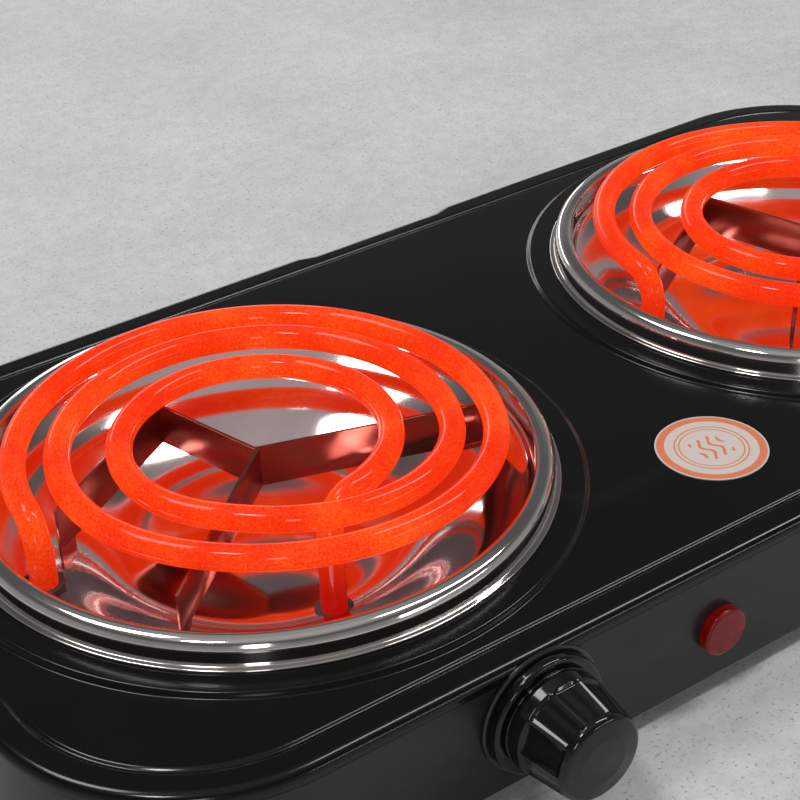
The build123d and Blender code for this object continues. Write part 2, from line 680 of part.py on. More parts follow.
def make_wires():
    """Live wires to the thermostats and neutral wires to the elements' inner pins."""
    hole_z = SHELL_BOTTOM_Z + 5
    start_y = MAINS_Y - 8.4
    live_ports = PORTS[1:3]
    neutral_ports = (PORTS[0], PORTS[3])
    inner_leg = leg_places()[1]
    for (side_name, side), live_port, neutral_port in zip(SIDES, live_ports, neutral_ports):
        x = GLAND_X + live_port
        tab_x = side * (KNOB_X - TAB_X)
        tab_y = PANEL_Y + BODY_BACK + 6.5
        live = [(x, start_y, hole_z), (x, start_y - 14, hole_z), (x, start_y - 40, WIRE_Z),
                (x, -60, WIRE_Z), (tab_x - side * 34, tab_y + 6, WIRE_Z),
                (tab_x - side * 14, tab_y, WIRE_Z + 2), (tab_x - side * 4.2, tab_y, KNOB_Z - 8.0)]
        add(f"wire_live_{side_name}", wire(live))
        x = GLAND_X + neutral_port
        pin_x = side * BURNER_X + inner_leg.X
        neutral = [(x, start_y, hole_z), (x, start_y - 14, hole_z), (x, start_y - 36, EYELET_WIRE_Z),
                   (x + side * 22, inner_leg.Y + 24, EYELET_WIRE_Z),
                   (pin_x - side * 30, inner_leg.Y, EYELET_WIRE_Z), (pin_x, inner_leg.Y, EYELET_WIRE_Z)]
        add(f"wire_neutral_{side_name}", wire(neutral))


def place(shape):
    """Move a piece from deck coordinates to the part's own frame."""
    return Pos(0, BODY_SHIFT_Y, DECK_TOP) * shape


# ---- assembly ------------------------------------------------------------
add("top_deck", top_deck())
add("body_shell", body_shell())
add("base_plate", base_plate())
add("base_screws", base_screws())
add("foot_screws", foot_screws())
for foot_name, (foot_x, foot_y) in FOOT_PLACES.items():
    add(foot_name, rubber_foot(foot_x, foot_y))
for which, sign in SIDES:
    make_burner(which, sign)
    make_control(which, sign)
    make_lamp(which, sign)
add("thermostat_screws", Compound(children=thermostat_screws(-1) + thermostat_screws(1)))
add("cord_gland", cord_gland())
add("gland_nut", gland_nut())
add("mains_terminal_block", mains_terminal_block())
add("mains_terminal_screws", mains_terminal_screws())
add("earth_stud", earth_stud())
add("label_disc", label_disc())
make_wires()

os.makedirs("parts", exist_ok=True)
for node, solid in PARTS.items():
    export_step(place(solid), f"parts/{node}.step")
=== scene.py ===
"""Double coil hot plate: finish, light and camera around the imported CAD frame."""
import json
from math import cos, hypot, pi, radians, sin, tan

import bmesh
import bpy
from mathutils import Matrix, Vector


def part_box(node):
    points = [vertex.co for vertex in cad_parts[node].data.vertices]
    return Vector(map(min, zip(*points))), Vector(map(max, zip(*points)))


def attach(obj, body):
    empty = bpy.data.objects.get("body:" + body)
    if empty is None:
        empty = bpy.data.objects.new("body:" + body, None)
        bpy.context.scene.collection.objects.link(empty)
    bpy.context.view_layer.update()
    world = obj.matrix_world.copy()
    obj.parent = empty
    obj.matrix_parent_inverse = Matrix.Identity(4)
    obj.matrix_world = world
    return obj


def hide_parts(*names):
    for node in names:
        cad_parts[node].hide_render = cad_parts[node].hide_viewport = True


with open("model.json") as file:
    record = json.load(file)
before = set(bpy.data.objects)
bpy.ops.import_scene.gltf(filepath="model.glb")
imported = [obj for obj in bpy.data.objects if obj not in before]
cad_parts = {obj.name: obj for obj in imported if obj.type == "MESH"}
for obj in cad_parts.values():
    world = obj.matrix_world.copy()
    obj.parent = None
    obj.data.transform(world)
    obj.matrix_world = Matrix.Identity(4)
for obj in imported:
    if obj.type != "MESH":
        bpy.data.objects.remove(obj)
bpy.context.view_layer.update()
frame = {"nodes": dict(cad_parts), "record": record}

MM = 0.001
SIDES = ("left", "right")
HOUSING = "housing"

# ---- places read from the frame, in metres -------------------------------
def middle(node):
    """Middle of a CAD node's box."""
    low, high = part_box(node)
    return (low + high) / 2


DECK_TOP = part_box("label_disc")[0].z
RING = {side: middle(f"trim_ring_{side}") for side in SIDES}
CENTRE = (RING["left"] + RING["right"]) / 2
ORIGIN = Vector((0.0, CENTRE.y, DECK_TOP))
DECK_LOW, DECK_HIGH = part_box("top_deck")
DECK_MIDDLE = (DECK_LOW + DECK_HIGH) / 2
LABEL = middle("label_disc")
PANEL_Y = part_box("body_shell")[0].y

# ---- camera: metres from ORIGIN, degrees, and millimetres of lens ---------
CAMERA_OFFSET = Vector((-0.32412, -0.38789, 0.30550))
CAMERA_HEADING = 34.335
CAMERA_DIP = 32.411
CAMERA_ROLL = -2.117
CAMERA_LENS = 84.80

# ---- light: the world's grey by height, then area lights as name,
# direction, width and height in metres, and watts -------------------------
SKY = ((0.0, 0.36), (0.3, 0.28), (0.5, 0.13), (0.72, 0.11), (0.84, 0.28), (1.0, 0.46))
FLOOR_HALF = 4.0
LIGHT_REACH = 1.7
SOFTBOXES = (
    ("right_strip", (0.48, -0.10, 0.87), 0.24, 0.9, 10.0),
    ("left_box", (-0.44, -0.14, 0.88), 0.2, 0.2, 5.0),
    ("rear_box", (-0.30, 0.36, 0.88), 0.6, 0.48, 9.0),
    ("backdrop", (0.20, 0.95, 0.16), 1.2, 0.2, 3.0),
    ("front_window", (-0.75, -0.95, 0.55), 0.2, 0.4, 2.2),
    ("front_low", (0.47, -0.81, 0.30), 1.1, 0.08, 2.6),
)

# ---- sizes in millimetres: the CAD model's own, but for a knob flange
# 0.5 mm smaller in radius and the finer bends of ring, knob and lens --------
CORNER_R = 59.0
SKIRT = 4.0
EDGE_R = 2.8
DECK_GAUGE = 1.0
GROOVE_INSET = 8.0
GROOVE_WIDTH = 2.6
GROOVE_DEPTH = 0.55
NOTCH = (-22.0, 30.0)
NOTCH_DEPTH = 2.0
NOTCH_SLOPE = 6.0
OPENING_R = 80.0
EMBOSS_R = 92.2
EMBOSS_RISE = 1.5
EMBOSS_SLOPE = 1.8
RING_INNER_R = 78.4
RING_OUTER_R = 85.8
RING_TOP = 9.7
RING_GAUGE = 0.8
PAN_GAUGE = 0.7
PAN_HOLE_R = 5.5
PAN_CURVE = [(83.0, 2.2), (78.8, 2.2), (78.0, 1.6), (77.4, 0.2), (76.0, -0.9), (72.0, -2.6),
             (67.0, -5.2), (60.0, -9.8), (51.0, -16.0), (44.0, -19.6), (37.0, -21.2),
             (29.0, -21.6), (14.0, -21.6), (3.0, -21.6)]
COIL_Z = 14.5
TUBE_R = 3.75
TURNS = (67.7, 55.4, 38.2)
COIL_START = 172.0
COIL_STEP = (-30.0, -140.0)
COIL_END = -798.0
LEG_BEND = 10.0
LEG_END = -29.8
COOL_DEPTH = 14.0
BLADE_GAUGE = 0.9
BLADE_HEIGHT = 13.0
BLADE_ANGLES = (105.0, 220.5, 342.0)
BLADE_REACH = 68.0
CREASE_R = 39.5
FOLD_TIP = (172.0, 60.0)
LEG_WIDTH = 7.0
FLANGE_R = 17.5
FLANGE = (1.6, 4.8)
KNOB_BASE_R = 14.4
KNOB_CAP_R = 12.4
FLUTES = 10
FLUTE_DEPTH = 1.15
FLUTE_START = 9.6
CAP_BAND = 2.4
BORE_R = 3.05
BORE_END = 16.0
FLUTE_FADE = (0.9, 1.4)
FLUTE_FLATNESS = 2.2
LENS_R = 7.3
LENS_STEM_R = 6.0
LENS_RISE = 3.6
LENS_STEM = 3.0
LABEL_R = 16.4

# ---- how finely round shapes are cut ---------------------------------------
ROUND_STEPS = 160
CORNER_STEPS = 24
EDGE_STEPS = 10
GROOVE_STEPS = 12
SEAT_STEPS = 10
PAN_STEPS = 96
HOLE_STEPS = 48
TUBE_STEPS = 28
BEND_STEPS = 10
LEG_STEPS = 8
WINDING_STEP = 1.5
KNOB_STEPS = 240
KNOB_SLICE = 0.3
LENS_STEPS = 96


# ---- mesh helpers --------------------------------------------------------
def unit(angle):
    """The horizontal direction at an angle in degrees."""
    return Vector((cos(radians(angle)), sin(radians(angle)), 0.0))


def piece(name, slot, verts, faces, body, replaced=(), sharp=None):
    """A mesh piece in the part's frame, from millimetre points about ORIGIN or a given matrix."""
    mesh = bpy.data.meshes.new(name)
    mesh.from_pydata([tuple(v) for v in verts], [], faces)
    tidy = bmesh.new()
    tidy.from_mesh(mesh)
    bmesh.ops.remove_doubles(tidy, verts=tidy.verts, dist=2e-6)
    bmesh.ops.recalc_face_normals(tidy, faces=tidy.faces)
    tidy.to_mesh(mesh)
    tidy.free()
    obj = bpy.data.objects.new(name, mesh)
    bpy.context.scene.collection.objects.link(obj)
    for polygon in mesh.polygons:
        polygon.use_smooth = True
    if sharp:
        mesh.set_sharp_from_angle(angle=radians(sharp))
    obj.data.materials.append(MATERIALS[slot])
    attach(obj, body)
    if replaced:
        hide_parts(*replaced)
    return obj


def settle(obj, sharp=None):
    """Apply the modifiers, so that sharp edges can be marked on the final mesh."""
    bpy.context.view_layer.update()
    solid = bpy.data.meshes.new_from_object(obj.evaluated_get(bpy.context.evaluated_depsgraph_get()))
    obj.modifiers.clear()
    obj.data = solid
    for polygon in solid.polygons:
        polygon.use_smooth = True
    if sharp:
        solid.set_sharp_from_angle(angle=radians(sharp))


def rounded(points, radii, steps=5, closed=True):
    """The outline with its corners rounded; each arc gets a close point before and after it."""
    result = []
    count = len(points)
    for i, point in enumerate(points):
        corner = Vector((point[0], point[1]))
        radius = radii[i] if isinstance(radii, (list, tuple)) else radii
        if radius <= 0 or (not closed and i in (0, count - 1)):
            result.append(corner)
            continue
        to_last = Vector(points[i - 1]) - corner
        to_next = Vector(points[(i + 1) % count]) - corner
        half = to_last.angle(to_next) / 2
        reach = min(radius / tan(half), 0.45 * to_last.length, 0.45 * to_next.length)
        bow = reach * tan(half)
        turn = pi - 2 * half
        start = corner + to_last.normalized() * reach
        end = corner + to_next.normalized() * reach
        hub = corner + (to_last.normalized() + to_next.normalized()).normalized() * (bow / sin(half))
        result.append(start + to_last.normalized() * 0.08 * reach)
        for step in range(steps + 1):
            blend = step / steps
            spoke = ((start - hub) * sin((1 - blend) * turn) + (end - hub) * sin(blend * turn)) / sin(turn)
            result.append(hub + spoke)
        result.append(end + to_next.normalized() * 0.08 * reach)
    return result


def lathe(profile, place, steps=ROUND_STEPS, closed=True, reach=None):
    """Vertices and faces of a turned shape; reach(radius, height, angle) may shape the radius."""
    verts = []
    for step in range(steps):
        angle = 2 * pi * step / steps
        for radius, height in profile:
            r = reach(radius, height, angle) if reach else radius
            verts.append(place @ Vector((r * cos(angle), r * sin(angle), height)))
    count = len(profile)
    faces = []
    for step in range(steps):
        here, there = step * count, ((step + 1) % steps) * count
        for i in range(count if closed else count - 1):
            j = (i + 1) % count
            faces.append((here + i, there + i, there + j, here + j))
    return verts, faces


def at(x, y, z):
    """From millimetres about a point in the part's frame to metres."""
    return Matrix.Translation(Vector((x, y, z))) @ Matrix.Scale(MM, 4)


def facing_front(x, y, z):
    """Millimetre frame whose +Z leaves the front panel."""
    return Matrix.Translation(Vector((x, y, z))) @ Matrix.Rotation(pi / 2, 4, "X") @ Matrix.Scale(MM, 4)


def offset(points, gauge):
    """The same open run of points, one gauge to its left."""
    moved = []
    for i, point in enumerate(points):
        before = points[max(i - 1, 0)]
        after = points[min(i + 1, len(points) - 1)]
        normals = []
        for a, b in ((before, point), (point, after)):
            length = hypot(b[0] - a[0], b[1] - a[1])
            if length > 1e-9:
                normals.append(((a[1] - b[1]) / length, (b[0] - a[0]) / length))
        nx = sum(n[0] for n in normals) / len(normals)
        ny = sum(n[1] for n in normals) / len(normals)
        scale = gauge / (nx * nx + ny * ny)
        moved.append((point[0] + nx * scale, point[1] + ny * scale))
    return moved


# ---- material helpers ----------------------------------------------------
class Finish:
    """A node material under construction: one Principled shader and its textures."""

    def __init__(self, name, colour, roughness, metallic=0.0, **sockets):
        self.material = bpy.data.materials.new(name)
        self.material.use_nodes = True
        self.nodes = self.material.node_tree.nodes
        self.links = self.material.node_tree.links
        self.shader = self.nodes["Principled BSDF"]
        self.shader.inputs["Base Color"].default_value = (*colour, 1.0)
        self.shader.inputs["Roughness"].default_value = roughness
        self.shader.inputs["Metallic"].default_value = metallic
        for socket, value in sockets.items():
            self.shader.inputs[socket.replace("_", " ")].default_value = value
        self.place = self.nodes.new("ShaderNodeTexCoord").outputs["Object"]

    def link(self, source, target):
        self.links.new(source, target)

    def stretched(self, scale):
        mapping = self.nodes.new("ShaderNodeMapping")
        mapping.inputs["Scale"].default_value = scale
        self.link(self.place, mapping.inputs["Vector"])
        return mapping.outputs["Vector"]

    def noise(self, scale, detail=4.0, rough=0.55, vector=None):
        node = self.nodes.new("ShaderNodeTexNoise")
        node.inputs["Scale"].default_value = scale
        node.inputs["Detail"].default_value = detail
        node.inputs["Roughness"].default_value = rough
        self.link(vector or self.place, node.inputs["Vector"])
        return node.outputs["Fac"]

    def ramp(self, source, *stops, mode="LINEAR"):
        node = self.nodes.new("ShaderNodeValToRGB")
        node.color_ramp.interpolation = mode
        elements = node.color_ramp.elements
        while len(elements) < len(stops):
            elements.new(0.5)
        for element, (position, colour) in zip(elements, stops):
            element.position = position
            element.color = (*colour, 1.0) if isinstance(colour, tuple) else (colour, colour, colour, 1.0)
        self.link(source, node.inputs["Fac"])
        return node.outputs["Color"]

    def math(self, operation, a, b=None, c=None):
        node = self.nodes.new("ShaderNodeMath")
        node.operation = operation
        for socket, value in zip(node.inputs, (a, b, c)):
            if isinstance(value, (int, float)):
                socket.default_value = value
            elif value is not None:
                self.link(value, socket)
        return node.outputs[0]

    def mix(self, factor, a, b, mode="MIX"):
        node = self.nodes.new("ShaderNodeMix")
        node.data_type = "RGBA"
        node.blend_type = mode
        for socket, value in ((node.inputs[0], factor), (node.inputs[6], a), (node.inputs[7], b)):
            if isinstance(value, (int, float)):
                socket.default_value = value
            elif isinstance(value, tuple):
                socket.default_value = (*value, 1.0)
            else:
                self.link(value, socket)
        return node.outputs[2]

    def edges(self, low=0.52, high=0.62):
        """Bright where the surface turns a corner."""
        geometry = self.nodes.new("ShaderNodeNewGeometry")
        return self.ramp(geometry.outputs["Pointiness"], (low, 0.0), (high, 1.0))

    def colour(self, source):
        self.link(source, self.shader.inputs["Base Color"])
        return self

    def rough(self, source):
        self.link(source, self.shader.inputs["Roughness"])
        return self

    def bump(self, height, distance, strength=1.0):
        node = self.nodes.new("ShaderNodeBump")
        node.inputs["Distance"].default_value = distance
        node.inputs["Strength"].default_value = strength
        self.link(height, node.inputs["Height"])
        self.link(node.outputs["Normal"], self.shader.inputs["Normal"])
        return self


def enamel(name, shade, roughness, spread):
    """Stoved black enamel: fine orange peel, cloudy gloss and paler rubbed edges."""
    f = Finish(name, (shade, shade, shade), roughness, Specular_IOR_Level=0.35)
    cloud = f.noise(14.0, 5.0)
    f.rough(f.ramp(cloud, (0.3, roughness - spread), (0.7, roughness + spread)))
    rubbed = f.math("MULTIPLY", f.edges(), f.noise(260.0, 3.0))
    tone = f.ramp(f.noise(40.0, 3.0), (0.3, (shade * 0.8, shade * 0.8, shade * 0.82)),
                  (0.7, (shade * 1.25, shade * 1.22, shade * 1.2)))
    f.colour(f.mix(f.math("MULTIPLY", rubbed, 0.3), tone, (shade * 5, shade * 5, shade * 5)))
    return f.bump(f.noise(1400.0, 2.0), 0.000006, 0.25).material


def chrome(name, colour, roughness, spread, wave):
    """Plated sheet: faint turning marks, smudges and a slightly uneven pressing."""
    f = Finish(name, colour, roughness, 1.0)
    smudge = f.noise(55.0, 6.0, 0.6)
    scratch = f.noise(1.0, 4.0, 0.7, f.stretched((900.0, 900.0, 60.0)))
    gloss = f.math("MULTIPLY_ADD", scratch, spread, f.math("MULTIPLY", smudge, spread))
    f.rough(f.math("ADD", gloss, roughness - spread))
    tint = tuple(c * 0.86 for c in colour)
    f.colour(f.mix(f.ramp(smudge, (0.35, 0.0), (0.75, 1.0)), colour, tint))
    height = f.math("ADD", f.noise(60.0, 2.0), f.math("MULTIPLY", scratch, 0.03))
    return f.bump(height, wave, 1.0).material


def hot_sheath():
    """Glowing heater sheath: hotter in the middle of the turns, grainy oxide on its skin."""
    f = Finish("hot_sheath", (0.08, 0.004, 0.001), 0.3, Specular_IOR_Level=0.02,
               Coat_Weight=0.3, Coat_Roughness=0.04)
    grain = f.noise(1500.0, 3.0, 0.8)
    patch = f.noise(40.0, 3.0)
    heat = f.math("ADD", f.math("MULTIPLY", patch, 0.4), f.math("MULTIPLY", grain, 0.5))
    glow = f.ramp(heat, (0.3, (0.64, 0.01, 0.001)), (0.45, (0.69, 0.03, 0.002)), (0.6, (0.78, 0.09, 0.009)))
    split = f.nodes.new("ShaderNodeSeparateXYZ")
    f.link(f.place, split.inputs[0])
    fade = f.nodes.new("ShaderNodeMapRange")
    f.link(split.outputs["Z"], fade.inputs["Value"])
    fade.inputs["From Min"].default_value = DECK_TOP - COOL_DEPTH * MM
    fade.inputs["From Max"].default_value = DECK_TOP + COIL_Z * MM
    f.link(f.mix(fade.outputs[0], (0.3, 0.003, 0.001), glow), f.shader.inputs["Emission Color"])
    f.shader.inputs["Emission Strength"].default_value = 1.35
    f.colour(f.ramp(grain, (0.35, (0.05, 0.002, 0.001)), (0.7, (0.12, 0.01, 0.004))))
    f.rough(f.ramp(grain, (0.3, 0.2), (0.7, 0.42)))
    return f.bump(grain, 0.00004, 0.6).material


def plastic(name, colour, roughness, spread, grain, depth, **sockets):
    """Moulded plastic: faint flow marks, fingerprints in the gloss and a fine texture."""
    f = Finish(name, colour, roughness, **sockets)
    flow = f.noise(90.0, 3.0, 0.5, f.stretched((1.0, 0.35, 1.0)))
    f.rough(f.ramp(flow, (0.3, max(roughness - spread, 0.02)), (0.7, roughness + spread)))
    pale = tuple(min(c * 1.35 + 0.004, 1.0) for c in colour)
    f.colour(f.mix(f.math("MULTIPLY", f.edges(), 0.4), f.mix(flow, colour, pale), pale))
    return f.bump(f.noise(grain, 2.0), depth, 0.4).material


def sheet_steel(name, colour, roughness, brush):
    """Plain or plated sheet with rolling marks, dull spots and bright worn edges."""
    f = Finish(name, colour, roughness, 1.0)
    grain = f.noise(1.0, 4.0, 0.6, f.stretched(brush))
    spots = f.noise(70.0, 6.0, 0.65)
    dull = tuple(c * 0.7 for c in colour)
    f.colour(f.mix(f.edges(), f.mix(f.ramp(spots, (0.4, 0.0), (0.7, 1.0)), colour, dull), colour))
    f.rough(f.ramp(grain, (0.3, roughness - 0.08), (0.7, roughness + 0.12)))
    return f.bump(grain, 0.00002, 0.5).material


def ceramic():
    """Unglazed steatite: chalky, speckled and a little stained."""
    f = Finish("terminal_ceramic", (0.8, 0.77, 0.7), 0.62)
    speck = f.noise(1800.0, 2.0)
    stain = f.noise(120.0, 5.0)
    f.colour(f.ramp(stain, (0.3, (0.62, 0.58, 0.5)), (0.6, (0.82, 0.79, 0.72))))
    f.rough(f.ramp(speck, (0.3, 0.55), (0.7, 0.75)))
    return f.bump(speck, 0.00005, 0.5).material


def sleeve():
    """Glass-braid sleeve: fine crossed ribs and yarn tone."""
    f = Finish("wire_sleeve", (0.75, 0.72, 0.66), 0.7, Sheen_Weight=0.2)
    braid = f.nodes.new("ShaderNodeTexWave")
    braid.inputs["Scale"].default_value = 900.0
    braid.inputs["Distortion"].default_value = 3.0
    f.link(f.place, braid.inputs["Vector"])
    f.colour(f.ramp(braid.outputs["Fac"], (0.2, (0.5, 0.47, 0.41)), (0.8, (0.8, 0.77, 0.7))))
    f.rough(f.ramp(f.noise(800.0), (0.3, 0.6), (0.7, 0.85)))
    return f.bump(braid.outputs["Fac"], 0.0001, 0.6).material


def label_print():
    """A plain round sticker: orange border, thin rings and three rising heat waves."""
    f = Finish("label_print", (0.85, 0.83, 0.8), 0.3, Coat_Weight=0.4, Coat_Roughness=0.1)
    shift = f.nodes.new("ShaderNodeVectorMath")
    shift.operation = "SUBTRACT"
    f.link(f.place, shift.inputs[0])
    shift.inputs[1].default_value = LABEL
    split = f.nodes.new("ShaderNodeSeparateXYZ")
    f.link(shift.outputs[0], split.inputs[0])
    x, y = split.outputs["X"], split.outputs["Y"]
    square = f.math("ADD", f.math("POWER", x, 2.0), f.math("POWER", y, 2.0))
    radius = f.math("MULTIPLY", f.math("SQRT", square), 1 / (LABEL_R * MM))
    paper, orange = (0.62, 0.54, 0.49), (0.68, 0.185, 0.08)
    rings = f.ramp(radius, (0.0, 0.0), (0.56, 1.0), (0.585, 0.0), (0.64, 1.0), (0.665, 0.0),
                   (0.83, 1.0), (0.965, 0.0), mode="CONSTANT")
    pitch, line, sway = 1.7 * MM, 0.5 * MM, 0.9 * MM
    half_height, half_width = 5.2 * MM, 4.9 * MM
    lean = f.math("MULTIPLY", f.math("SINE", f.math("MULTIPLY", y, 900.0)), sway)
    across = f.math("ADD", x, lean)
    spacing = f.math("PINGPONG", f.math("ADD", across, pitch), pitch)
    wave = f.math("LESS_THAN", spacing, line)
    inside = f.math("MULTIPLY", f.math("LESS_THAN", f.math("ABSOLUTE", y), half_height),
                    f.math("LESS_THAN", f.math("ABSOLUTE", x), half_width))
    ink = f.math("MAXIMUM", f.math("MULTIPLY", wave, inside), rings)
    blot = f.noise(600.0, 3.0)
    f.colour(f.mix(f.math("MULTIPLY", ink, f.ramp(blot, (0.2, 0.85), (0.6, 1.0))), paper, orange))
    f.rough(f.ramp(blot, (0.3, 0.25), (0.7, 0.42)))
    return f.bump(ink, 0.00002, 0.5).material


def lens_red():
    """Translucent red lamp lens, faintly lit from behind."""
    f = Finish("lens_red", (0.1, 0.003, 0.002), 0.08, Specular_IOR_Level=0.3,
               Coat_Weight=0.1, Coat_Roughness=0.03)
    cloud = f.noise(220.0, 3.0)
    f.colour(f.ramp(cloud, (0.3, (0.05, 0.001, 0.001)), (0.7, (0.1, 0.002, 0.002))))
    f.rough(f.ramp(cloud, (0.3, 0.06), (0.7, 0.18)))
    glow = f.ramp(cloud, (0.2, (0.1, 0.0, 0.0)), (0.8, (0.16, 0.002, 0.001)))
    f.link(glow, f.shader.inputs["Emission Color"])
    f.shader.inputs["Emission Strength"].default_value = 0.5
    return f.bump(f.noise(500.0), 0.00001, 0.3).material


def bulb_glass():
    """Clear glass with a thin film of dust."""
    f = Finish("bulb_glass", (0.95, 0.93, 0.9), 0.05, Transmission_Weight=1.0, IOR=1.45)
    film = f.noise(300.0)
    f.colour(f.ramp(film, (0.3, (0.85, 0.8, 0.75)), (0.7, (0.97, 0.96, 0.94))))
    f.rough(f.ramp(film, (0.3, 0.03), (0.7, 0.12)))
    return f.bump(film, 0.00002, 0.3).material


def stone():
    """Pale grey table top: mottled, speckled and matt."""
    f = Finish("stone", (0.6, 0.6, 0.59), 0.6)
    mottle = f.ramp(f.noise(9.0, 7.0, 0.65), (0.3, (0.56, 0.56, 0.55)), (0.7, (0.68, 0.68, 0.665)))
    pepper = f.ramp(f.noise(700.0, 3.0, 0.7), (0.34, 0.5), (0.41, 1.0))
    grain = f.ramp(f.noise(120.0, 7.0, 0.85), (0.32, 0.8), (0.62, 1.0))
    f.colour(f.mix(1.0, mottle, f.mix(1.0, pepper, grain, "MULTIPLY"), "MULTIPLY"))
    f.rough(f.ramp(f.noise(30.0), (0.3, 0.5), (0.7, 0.75)))
    return f.bump(f.noise(350.0, 5.0), 0.0004, 0.35).material


MATERIALS = {
    "deck_enamel": enamel("deck_enamel", 0.003, 0.16, 0.03),
    "casing_paint": enamel("casing_paint", 0.012, 0.3, 0.06),
    "base_steel": sheet_steel("base_steel", (0.55, 0.55, 0.56), 0.38, (40.0, 900.0, 900.0)),
    "screw_steel": sheet_steel("screw_steel", (0.62, 0.62, 0.62), 0.25, (900.0, 900.0, 900.0)),
    "foot_rubber": plastic("foot_rubber", (0.02, 0.02, 0.02), 0.75, 0.1, 1500.0, 0.0001),
    "label_print": label_print(),
    "gland_nylon": plastic("gland_nylon", (0.02, 0.02, 0.02), 0.45, 0.08, 900.0, 0.00005),
    "terminal_ceramic": ceramic(),
    "bush_ceramic": plastic("bush_ceramic", (0.05, 0.045, 0.042), 0.3, 0.1, 900.0, 0.00004),
    "ring_chrome": chrome("ring_chrome", (0.72, 0.68, 0.65), 0.08, 0.03, 0.000001),
    "pan_chrome": chrome("pan_chrome", (0.74, 0.6, 0.6), 0.08, 0.02, 0.000001),
    "hot_sheath": hot_sheath(),
    # The support's dark red base colour is a painted reflection of the glowing coil above it, not the
    # steel's own colour.
    "support_steel": chrome("support_steel", (0.36, 0.095, 0.07), 0.3, 0.03, 0.000001),
    "shield_aluminium": sheet_steel("shield_aluminium", (0.75, 0.75, 0.76), 0.3, (900.0, 40.0, 900.0)),
    "terminal_brass": sheet_steel("terminal_brass", (0.75, 0.56, 0.28), 0.3, (700.0, 700.0, 90.0)),
    "knob_gloss": plastic("knob_gloss", (0.002, 0.002, 0.002), 0.07, 0.02, 700.0, 0.000005,
                          Specular_IOR_Level=0.45),
    "bezel_gloss": plastic("bezel_gloss", (0.01, 0.01, 0.01), 0.16, 0.04, 700.0, 0.00002),
    "phenolic": plastic("phenolic", (0.12, 0.08, 0.06), 0.45, 0.1, 600.0, 0.00006),
    "lens_red": lens_red(),
    "lamp_white": plastic("lamp_white", (0.8, 0.8, 0.78), 0.4, 0.08, 800.0, 0.00004),
    "bulb_glass": bulb_glass(),
    "wire_sleeve": sleeve(),
}


def dress_frame():
    """Every CAD node takes the finish of its material slot."""
    for part in frame["record"]["subparts"]:
        mesh = frame["nodes"][part["node"]].data
        mesh.materials.clear()
        mesh.materials.append(MATERIALS[part["material_slot"]])


# ---- deck ----------------------------------------------------------------
def outline(inset, notch_depth):
    """The deck seen from above at an inset, in millimetres about the deck's middle."""
    half_x = (DECK_HIGH.x - DECK_LOW.x) / 2 / MM - inset
    half_y = (DECK_HIGH.y - DECK_LOW.y) / 2 / MM - inset
    radius = max(CORNER_R - inset, 1.0)
    points = []
    corners = ((-1, -1, 180.0), (1, -1, 270.0), (1, 1, 0.0), (-1, 1, 90.0))
    for sx, sy, start in corners:
        hub = Vector((sx * (half_x - radius), sy * (half_y - radius), 0.0))
        points += [hub + unit(start + 90.0 * k / CORNER_STEPS) * radius for k in range(CORNER_STEPS + 1)]
        if start == 0.0:
            deep = half_y - notch_depth
            left, right = NOTCH
            slope = NOTCH_SLOPE
            points += [Vector((right + slope, half_y, 0.0)), Vector((right, deep, 0.0)),
                       Vector((left, deep, 0.0)), Vector((left - slope, half_y, 0.0))]
    return points


def deck_section():
    """Rings of the pressed sheet from the skirt's edge to the flat field: inset, height, notch."""
    section = [(0.0, -SKIRT, NOTCH_DEPTH), (0.0, -EDGE_R - 0.1, NOTCH_DEPTH)]
    for step in range(EDGE_STEPS + 1):
        angle = pi / 2 * step / EDGE_STEPS
        section.append((EDGE_R * (1 - cos(angle)), EDGE_R * (sin(angle) - 1), NOTCH_DEPTH))
    section.append((EDGE_R + 0.15, 0.0, NOTCH_DEPTH))
    section.append((EDGE_R + 1.5, 0.0, NOTCH_DEPTH))
    section.append((GROOVE_INSET - 1.0, 0.0, 0.0))
    for step in range(GROOVE_STEPS + 1):
        across = step / GROOVE_STEPS
        dip = GROOVE_DEPTH * (1 - cos(2 * pi * across)) / 2
        section.append((GROOVE_INSET + GROOVE_WIDTH * across, -dip, 0.0))
    section.append((GROOVE_INSET + GROOVE_WIDTH + 0.3, 0.0, 0.0))
    return section


def seat_section():
    """Rings of one raised seat from the flat field in to its opening: radius, height."""
    rise, slope = EMBOSS_RISE, EMBOSS_SLOPE
    section = [(EMBOSS_R + slope + 0.5, 0.0), (EMBOSS_R + slope + 0.2, 0.0)]
    for step in range(SEAT_STEPS + 1):
        across = step / SEAT_STEPS
        section.append((EMBOSS_R + slope * (1 - across), rise * (1 - cos(pi * across)) / 2))
    section += [(EMBOSS_R - 0.3, rise), (EMBOSS_R - 3.0, rise), (OPENING_R, rise)]
    return section


